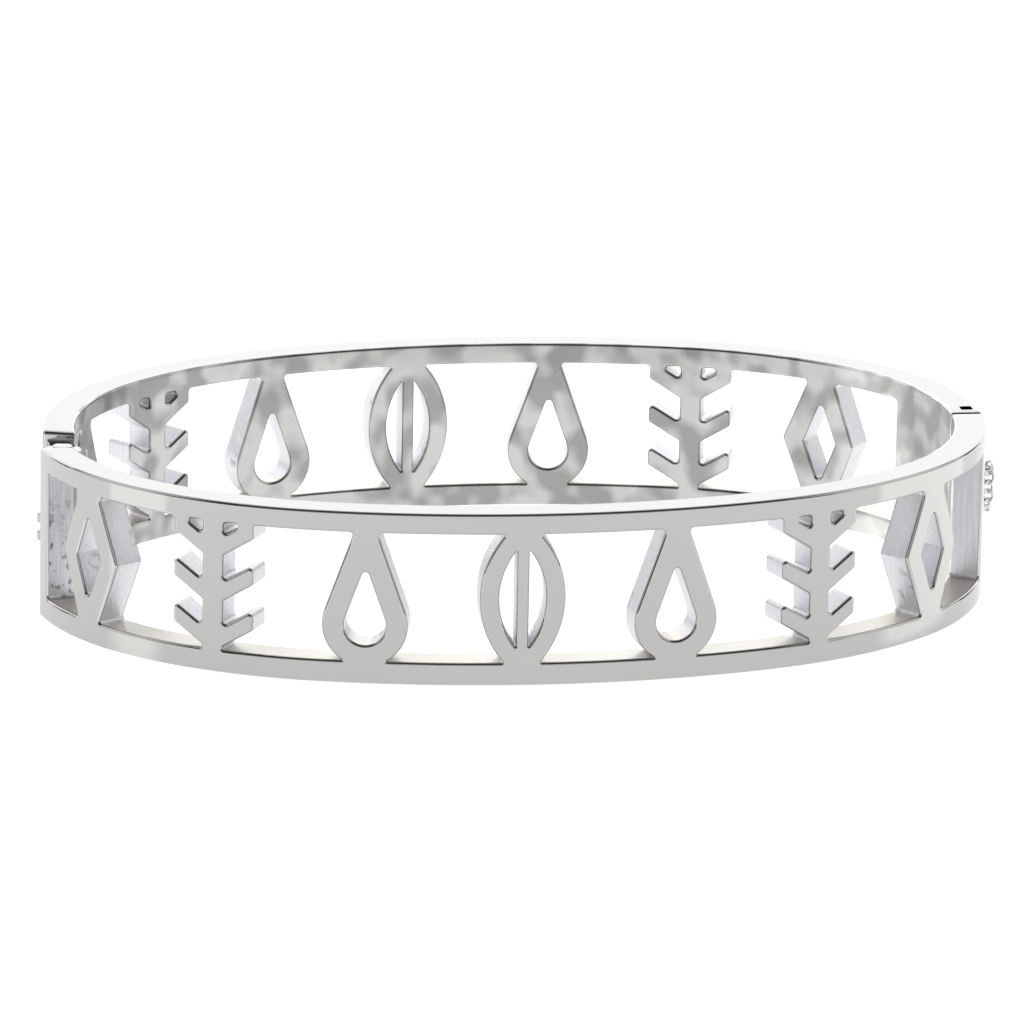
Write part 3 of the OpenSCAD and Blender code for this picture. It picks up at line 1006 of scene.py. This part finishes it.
def tongue_ring(band, work, hinge, clasp):
    """Radius of the tongue's middle about the hinge axis, and its middle's height."""
    middle = math.hypot(band.clasp_reach - band.wall / 2 - hinge.x, clasp.seam - hinge.y)
    return middle, (band.height + work.low_rail - work.top_rail) / 2


def tongue_room(name, from_y, to_y, play):
    """A plain solid round a stretch of the tongue, from one Y to another."""
    band, work, hinge, clasp, _, _ = settings()
    middle, z = tongue_ring(band, work, hinge, clasp)
    low, high = (math.asin((y - hinge.y) / middle) for y in (from_y, to_y))
    half, tall = clasp.tongue / 2 + play, clasp.tongue_height / 2 + play
    centre = (hinge.x, hinge.y)
    outline = (arc_points(centre, middle + half, low, high, steps=12)
               + arc_points(centre, middle - half, high, low, steps=12))
    return prism(name, outline, z - tall, z + tall)


def prism(name, outline, low, high):
    """A plain solid with sharp edges. Its outline runs counterclockwise in x and y."""
    points = [(x, y, z) for z in (low, high) for x, y in outline]
    *walls, foot, lid = tube_faces(2, len(outline))
    mesh = Mesh()
    mesh.add(points, [(0.0, 0.0, 0.0)] * len(points), [foot, lid, *walls],
             [PLAIN] * (len(walls) + 2))
    return mesh.object(name)


def box_outline(x, y, half_w, half_h, corner):
    """A rectangle about a point, with rounded corners."""
    return rounded([(x - half_w, y - half_h), (x + half_w, y - half_h),
                    (x + half_w, y + half_h), (x - half_w, y + half_h)], corner)


def release_slot(clasp, band):
    """The slot in the back half's upper rim, down into the tongue's box."""
    outline = box_outline(band.clasp_reach - clasp.slot_depth, clasp.slot_y, clasp.slot / 2,
                          clasp.slot_length / 2, corner=0.15 * MM)
    return prism("release_slot", outline, band.height / 2, band.height + PAST)


def build_half(name, side, metal):
    """One half of the band with everything that is soldered on it."""
    band, _, hinge, clasp, chain, _ = settings()
    plan = HalfPlan(side)
    piece = plan.sheet().object(name)
    line, start = plan.rim_line()
    run_tree(piece, bend_tree(), {"Rim line": line, "Line start": start, "Metal": metal})
    bpy.data.objects.remove(line)
    added = [knuckles(side, hinge, band)]
    if side > 0:
        added += [lugs(hinge, band), soldered_wire("eye", chain, band, chain.eye_y, closed=True)]
        box_end = clasp.seam + clasp.tongue_reach + clasp.box_play
        cut = [tongue_room("box", clasp.seam - PAST, box_end, clasp.box_play),
               release_slot(clasp, band)]
    else:
        combine(piece, [lug_relief(hinge, band)], "DIFFERENCE")
        added.append(soldered_wire("hook", chain, band, chain.hook_y, closed=False))
        root_end = clasp.seam - clasp.tongue_root - clasp.root_play
        cut = [tongue_room("root", root_end, clasp.seam + PAST, clasp.root_play)]
    combine(piece, added, "UNION")
    combine(piece, cut, "DIFFERENCE")
    set_normals(piece)
    return piece


def build_pin(metal):
    """The pin with its flat head, turned from one profile."""
    band, _, hinge, _, _, _ = settings()
    edge = PIN_EDGE
    foot = hinge.inset + hinge.play
    top = band.height - hinge.inset + hinge.play / 2
    crown = top + hinge.head_height
    profile = [(hinge.pin - edge, foot), (hinge.pin, foot + edge), (hinge.pin, top),
               (hinge.head - edge / 2, top), (hinge.head, top + edge / 2)]
    profile += arc_points((hinge.head - edge, crown - edge), edge, 0.0, math.pi / 2, steps=4)
    sides = 40
    points = [(x, y, z) for radius, z in profile
              for x, y in circle((hinge.x, hinge.y), radius, sides)]
    piece = plain_mesh("turned_pin", points, tube_faces(len(profile), sides), metal)
    piece.data.shade_smooth()
    piece.data.set_sharp_from_angle(angle=math.radians(35))
    return piece


def build_tongue(metal):
    """The tongue: a plate bent about the hinge axis, with rounded edges."""
    band, work, hinge, clasp, _, _ = settings()
    middle, z = tongue_ring(band, work, hinge, clasp)
    low, high = (middle * math.asin((y - hinge.y) / middle)
                 for y in (clasp.seam - clasp.tongue_root, clasp.seam + clasp.tongue_reach))
    outline = box_outline((low + high) / 2, z, (high - low) / 2, clasp.tongue_height / 2,
                          corner=0.5 * MM)

    def bend(point, normal):
        angle = point.x / middle
        out = Vector((math.cos(angle), math.sin(angle), 0.0))
        ahead = Vector((-out.y, out.x, 0.0))
        place = Vector((hinge.x, hinge.y, point.z))
        place += out * (middle + clasp.tongue / 2 - point.y)
        return place, ahead * normal.x - out * normal.y + Vector((0.0, 0.0, normal.z))

    plate = slab(outline, [], clasp.tongue, PLATE_EDGE, spacing=0.6 * MM)
    piece = plate.placed(bend).object("spring_tongue")
    piece.data.materials.append(metal)
    set_normals(piece)
    return piece


def chain_path(band, chain):
    """The U that the chain hangs in, from the first link's middle to the last one's."""
    x = band.clasp_reach + chain.out
    top = chain.height - chain.drop
    sag = (chain.eye_y - chain.hook_y) / 2
    limb = ((chain.links - 1) * chain.pitch - math.pi * sag) / 2
    arc = arc_points((chain.hook_y + sag, top - limb), sag, math.pi, 2 * math.pi, steps=60)
    places = [(chain.hook_y, top)] + arc + [(chain.eye_y, top)]
    return poly_line("chain_path", [(x, y, z) for y, z in places])


def build_chain(metal):
    """The safety chain, as one fused piece."""
    band, _, _, _, chain, _ = settings()
    path = chain_path(band, chain)
    piece = new_object("link_chain", bpy.data.meshes.new("link_chain"))
    run_tree(piece, chain_tree(), {"Path": path, "Links": chain.links, "Pitch": chain.pitch,
                                   "Link shape": (chain.narrow, chain.link, 1.0),
                                   "Twist": chain.twist, "Wire radius": chain.wire,
                                   "Ring sides": 16, "Wire sides": 6, "Metal": metal})
    bpy.data.objects.remove(path)
    piece.data.shade_smooth()
    return piece


# Finishes


class Shader(Nodes):
    """A new material with its nodes."""

    def __init__(self, name):
        self.material = bpy.data.materials.new(name)
        self.material.use_nodes = True
        super().__init__(self.material.node_tree)
        self.surface = self.tree.nodes["Principled BSDF"]

    def place(self, stretch=(1, 1, 1)):
        """The piece's own coordinates, multiplied along each axis."""
        coordinates = self.node("ShaderNodeTexCoord").outputs["Object"]
        return self.vector("MULTIPLY", coordinates, stretch)

    def distance(self, point):
        """Distance from a point of the piece."""
        return self.vector("DISTANCE", self.place(), point, "Value")

    def along(self, direction):
        """How far a point of the piece lies along a direction."""
        return self.vector("DOT_PRODUCT", self.place(), direction, "Value")

    def noise(self, stretch, detail=2.0):
        return self.node("ShaderNodeTexNoise", {"Vector": self.place(stretch), "Scale": 1.0,
                                                "Detail": detail}).outputs["Fac"]

    def spread(self, value, low, high, start=0.3, end=0.7):
        """The value's range from start to end, laid over low to high."""
        return self.out("ShaderNodeMapRange", {"Value": value, "From Min": start, "From Max": end,
                                               "To Min": low, "To Max": high})

    def mixed(self, factor, low, high):
        """A mix of two numbers."""
        return self.out("ShaderNodeMix", {0: factor, 2: low, 3: high})

    def tinted(self, factor, low, high):
        """A mix of two colours."""
        low, high = (c if isinstance(c, bpy.types.NodeSocket) else opaque(c) for c in (low, high))
        return self.node("ShaderNodeMix", {0: factor, 6: low, 7: high},
                         data_type="RGBA").outputs[2]

    def bump(self, height, strength, distance):
        return self.out("ShaderNodeBump", {"Height": height, "Strength": strength,
                                           "Distance": distance})


def opaque(colour):
    return (*colour, 1.0)


def darker(colour, factor):
    return [factor * channel for channel in colour]


def plating(name):
    """Mirror-bright plating. It is finely grained on upright cut walls and uneven inside, where a
    painted reflection blotches it lighter and darker and makes it near-white towards the clasp end.
    """
    finish = settings().finish
    shader = Shader(name)
    kind = shader.node("ShaderNodeAttribute", attribute_name=SURFACE).outputs["Fac"]
    inner = shader.spread(kind, 0.0, 1.0, PLAIN, INNER)
    cut = shader.spread(kind, 0.0, 1.0, 0.6, 0.9)
    sill = shader.math("MULTIPLY", shader.spread(kind, 0.0, 1.0, 0.1, 0.4),
                       shader.spread(kind, 1.0, 0.0, 0.6, 0.9))
    grain = shader.noise((5200, 5200, 420), 3.0)
    patches = shader.noise((420, 420, 420), 1.0)
    specks = shader.noise((1800, 1800, 1500), 2.0)
    soft = shader.noise((160, 160, 160))
    waves = shader.noise((240, 240, 200), 1.0)
    dents = shader.noise((560, 560, 470), 1.0)
    blotches = shader.noise((430, 430, 380), 1.0)
    walls = shader.tinted(shader.spread(grain, 0.0, 1.0), darker(finish.cut, 0.85), finish.cut)
    near_hinge = shader.spread(shader.distance((-0.0315, -0.005, 0.0042)), 1.0, 0.0, 0.0026, 0.005)
    patchy = shader.math("MAXIMUM", shader.spread(patches, 0.0, 0.6, 0.6, 0.7), near_hinge)
    stained = shader.math("MULTIPLY", shader.spread(specks, 1.0, 0.0, 0.34, 0.46), patchy)
    walls = shader.tinted(stained, walls, finish.stain)
    # Painted reflection on the inner face: near-white towards the clasp end, and elsewhere blotches
    # of a lighter copy of its colour and a darker one, which is painted shade.
    block = shader.spread(shader.along((1.0, 0.0, 0.0)), 0.0, 1.0, 0.025, 0.028)
    light = shader.tinted(block, finish.inside, finish.block)
    inside_painted_shade = shader.tinted(block, darker(finish.inside, 0.6), finish.inside)
    inside_painted_reflections = shader.tinted(shader.spread(blotches, 0.0, 1.0, 0.4, 0.58), inside_painted_shade, light)
    plate = shader.tinted(sill, shader.tinted(inner, finish.plate, inside_painted_reflections), finish.sill)
    smooth = shader.mixed(inner, shader.spread(soft, 0.04, 0.1), shader.spread(soft, 0.16, 0.3))
    smooth = shader.mixed(sill, smooth, 0.32)
    height = shader.mixed(cut, shader.mixed(inner, waves, dents), grain)
    strength = shader.mixed(cut, shader.mixed(inner, 0.12, 1.0), 0.3)
    shader.feed(shader.surface, {
        "Base Color": shader.tinted(cut, plate, walls),
        "Roughness": shader.mixed(cut, smooth, shader.spread(grain, 0.34, 0.5)),
        "Metallic": 1.0, "Normal": shader.bump(height, strength, 0.06 * MM)})
    return shader.material


def plain_metal(name, colour, low, high, stretch):
    """Bright metal whose roughness varies a little."""
    shader = Shader(name)
    grain = shader.noise(stretch)
    shader.feed(shader.surface, {"Base Color": opaque(colour), "Metallic": 1.0,
                                 "Roughness": shader.spread(grain, low, high),
                                 "Normal": shader.bump(grain, 0.15, 0.02 * MM)})
    return shader.material


# The floor's wedges of painted light: the side, then the slope and the place of its near and of its
# far border
WEDGES = ((-1, -0.38, -0.0045, 0.123, -0.016), (1, 0.297, -0.01, -0.68, -0.0334))


def pale_floor(name, colour):
    """A matt floor that glows, a little more in a wedge of painted light at either side of the
    bangle, and less in a soft patch of painted shade just in front of it.

    The outer face mirrors the wedges as lighter stretches with upright borders, and the patch as
    darker."""
    shader = Shader(name)
    soft, wedge_glow, middle_glow = 0.8 * MM, 0.32, 0.95
    # Painted shade: the floor glows less in a soft patch in front of the bangle, which the outer
    # face mirrors as a darker stretch.
    glow = shader.spread(shader.distance((0.0, -0.03, 0.0)), 0.92, 1.03, 0.02, 0.07)
    for side, near, near_line, far, far_line in WEDGES:
        beyond = shader.spread(shader.along((near, 1.0, 0.0)), 0.0, wedge_glow,
                               near_line - soft, near_line + soft)
        before = shader.spread(shader.along((far, 1.0, 0.0)), 1.0, 0.0, far_line - soft,
                               far_line + soft)
        there = shader.spread(shader.along((side, 0.0, 0.0)), 0.0, 1.0, 0.006, 0.012)
        wedge = shader.math("MULTIPLY", shader.math("MULTIPLY", beyond, before), there)
        glow = shader.math("ADD", glow, wedge)
    outside = shader.spread(shader.distance((0.0, 0.0, 0.0)), 0.0, 1.0, 0.028, 0.031)
    shader.feed(shader.surface, {"Base Color": opaque(colour), "Roughness": 0.9,
                                 "Specular IOR Level": 0.1,
                                 "Emission Color": (1.0, 1.0, 1.0, 1.0),
                                 "Emission Strength": shader.mixed(outside, middle_glow, glow)})
    return shader.material


# The stage


# Lights: name, place, width and height, and brightness
LIGHTS = (("front_light", (0.0, -1.7, 0.5), (3.6, 0.5), 0.6),
          ("back_light", (0.0, 1.5, 0.55), (3.2, 1.2), 1.5),
          ("top_light", (0.0, 0.7, 1.4), (2.6, 1.0), 0.8),
          ("right_light", (1.5, 0.0, 0.75), (1.9, 1.5), 0.9),
          ("left_light", (-1.5, 0.2, 0.75), (1.5, 1.5), 0.85))


def soft_light(name, place, target, size, brightness):
    """A soft light of a given brightness, turned towards a point."""
    lamp = bpy.data.lights.new(name, "AREA")
    lamp.shape = "RECTANGLE"
    lamp.size, lamp.size_y = size
    lamp.energy = brightness * math.pi * size[0] * size[1]
    made = new_object(name, lamp)
    made.location = place
    made.rotation_euler = (Vector(target) - Vector(place)).to_track_quat("-Z", "Y").to_euler()
    return made


def build_stage():
    """Pale floor, soft light from all sides, and the camera."""
    scene = bpy.context.scene
    corners = [(-1.8, -1.8, 0), (1.8, -1.8, 0), (1.8, 1.8, 0), (-1.8, 1.8, 0)]
    floor = plain_mesh("floor", corners, [(0, 1, 2, 3)],
                       pale_floor("floor_white", settings().finish.floor))
    middle = (0.0, 0.0, 0.006)
    lights = [soft_light(name, place, middle, size, brightness)
              for name, place, size, brightness in LIGHTS]
    scene.world = bpy.data.worlds.new("studio")
    scene.world.use_nodes = True
    background = scene.world.node_tree.nodes["Background"].inputs
    background["Color"].default_value = (0.06, 0.06, 0.062, 1.0)
    background["Strength"].default_value = 1.0
    scene.view_settings.view_transform = "Standard"
    camera = new_object("camera", bpy.data.cameras.new("camera"))
    camera.data.sensor_width = 36.0
    camera.data.lens = 308.47
    place = Vector((-93.3, -577.2, 177.2)) * MM
    aim = Vector((-0.02, 0.0, 5.49)) * MM
    roll = Quaternion((0.0, 0.0, 1.0), math.radians(1.07))
    camera.location = place
    camera.rotation_euler = ((aim - place).to_track_quat("-Z", "Y") @ roll).to_euler()
    scene.camera = camera
    return [floor, camera] + lights


# Operators, one for each piece or group of like pieces


class BANGLE_OT_halves(bpy.types.Operator):
    """Builds both halves of the band with their knuckles, lugs, hook and eye"""
    bl_idname = "bangle.halves"
    bl_label = "Build halves"

    def execute(self, context):
        metal = plating("plated_metal")
        for name, side, body in (("front_band", -1, "front"), ("back_band", 1, "back")):
            piece = build_half(name, side, metal)
            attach(piece, body)
            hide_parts(body + "_half")
        return {"FINISHED"}


class BANGLE_OT_pin(bpy.types.Operator):
    """Builds the hinge pin with its flat head"""
    bl_idname = "bangle.pin"
    bl_label = "Build pin"

    def execute(self, context):
        finish = settings().finish
        piece = build_pin(plain_metal("pin_metal", finish.plate, 0.06, 0.14, (900, 900, 900)))
        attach(piece, "back")
        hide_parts("hinge_pin")
        return {"FINISHED"}


class BANGLE_OT_tongue(bpy.types.Operator):
    """Builds the clasp's tongue"""
    bl_idname = "bangle.tongue"
    bl_label = "Build tongue"

    def execute(self, context):
        finish = settings().finish
        metal = plain_metal("spring_metal", finish.spring, 0.22, 0.4, (300, 300, 4200))
        piece = build_tongue(metal)
        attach(piece, "front")
        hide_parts("clasp_tongue")
        return {"FINISHED"}


class BANGLE_OT_chain(bpy.types.Operator):
    """Builds the safety chain"""
    bl_idname = "bangle.chain"
    bl_label = "Build chain"

    def execute(self, context):
        finish = settings().finish
        piece = build_chain(plain_metal("chain_metal", finish.wire, 0.5, 0.6, (1500, 1500, 1500)))
        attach(piece, "back")
        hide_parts("safety_chain")
        return {"FINISHED"}


class BANGLE_OT_stage(bpy.types.Operator):
    """Builds the floor, the light and the camera"""
    bl_idname = "bangle.stage"
    bl_label = "Build stage"

    def execute(self, context):
        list(build_stage())
        return {"FINISHED"}


OPERATORS = (BANGLE_OT_halves, BANGLE_OT_pin, BANGLE_OT_tongue, BANGLE_OT_chain, BANGLE_OT_stage)

GROUPS = {"bangle_band": BandSettings, "bangle_openwork": OpenworkSettings,
          "bangle_hinge": HingeSettings, "bangle_clasp": ClaspSettings,
          "bangle_chain": ChainSettings, "bangle_finish": FinishSettings}


class BANGLE_PT_panel(bpy.types.Panel):
    """Sizes and colours of the bangle, and the buttons that build it"""
    bl_idname = "BANGLE_PT_panel"
    bl_label = "Hinged bangle"
    bl_space_type = "VIEW_3D"
    bl_region_type = "UI"
    bl_category = "Bangle"

    def draw(self, context):
        for key, group in GROUPS.items():
            box = self.layout.box()
            box.label(text=key.replace("bangle_", "").capitalize())
            for name in group.__annotations__:
                box.prop(getattr(context.scene, key), name)
        for operator in OPERATORS:
            self.layout.operator(operator.bl_idname)


def register():
    for cls in (*GROUPS.values(), *OPERATORS, BANGLE_PT_panel):
        bpy.utils.register_class(cls)
    for key, group in GROUPS.items():
        setattr(bpy.types.Scene, key, bpy.props.PointerProperty(type=group))


def unregister():
    for key in GROUPS:
        delattr(bpy.types.Scene, key)
    for cls in reversed((*GROUPS.values(), *OPERATORS, BANGLE_PT_panel)):
        bpy.utils.unregister_class(cls)


def main():
    register()
    bpy.ops.bangle.halves()
    bpy.ops.bangle.pin()
    bpy.ops.bangle.tongue()
    bpy.ops.bangle.chain()
    bpy.ops.bangle.stage()


if __name__ == "__main__":
    main()
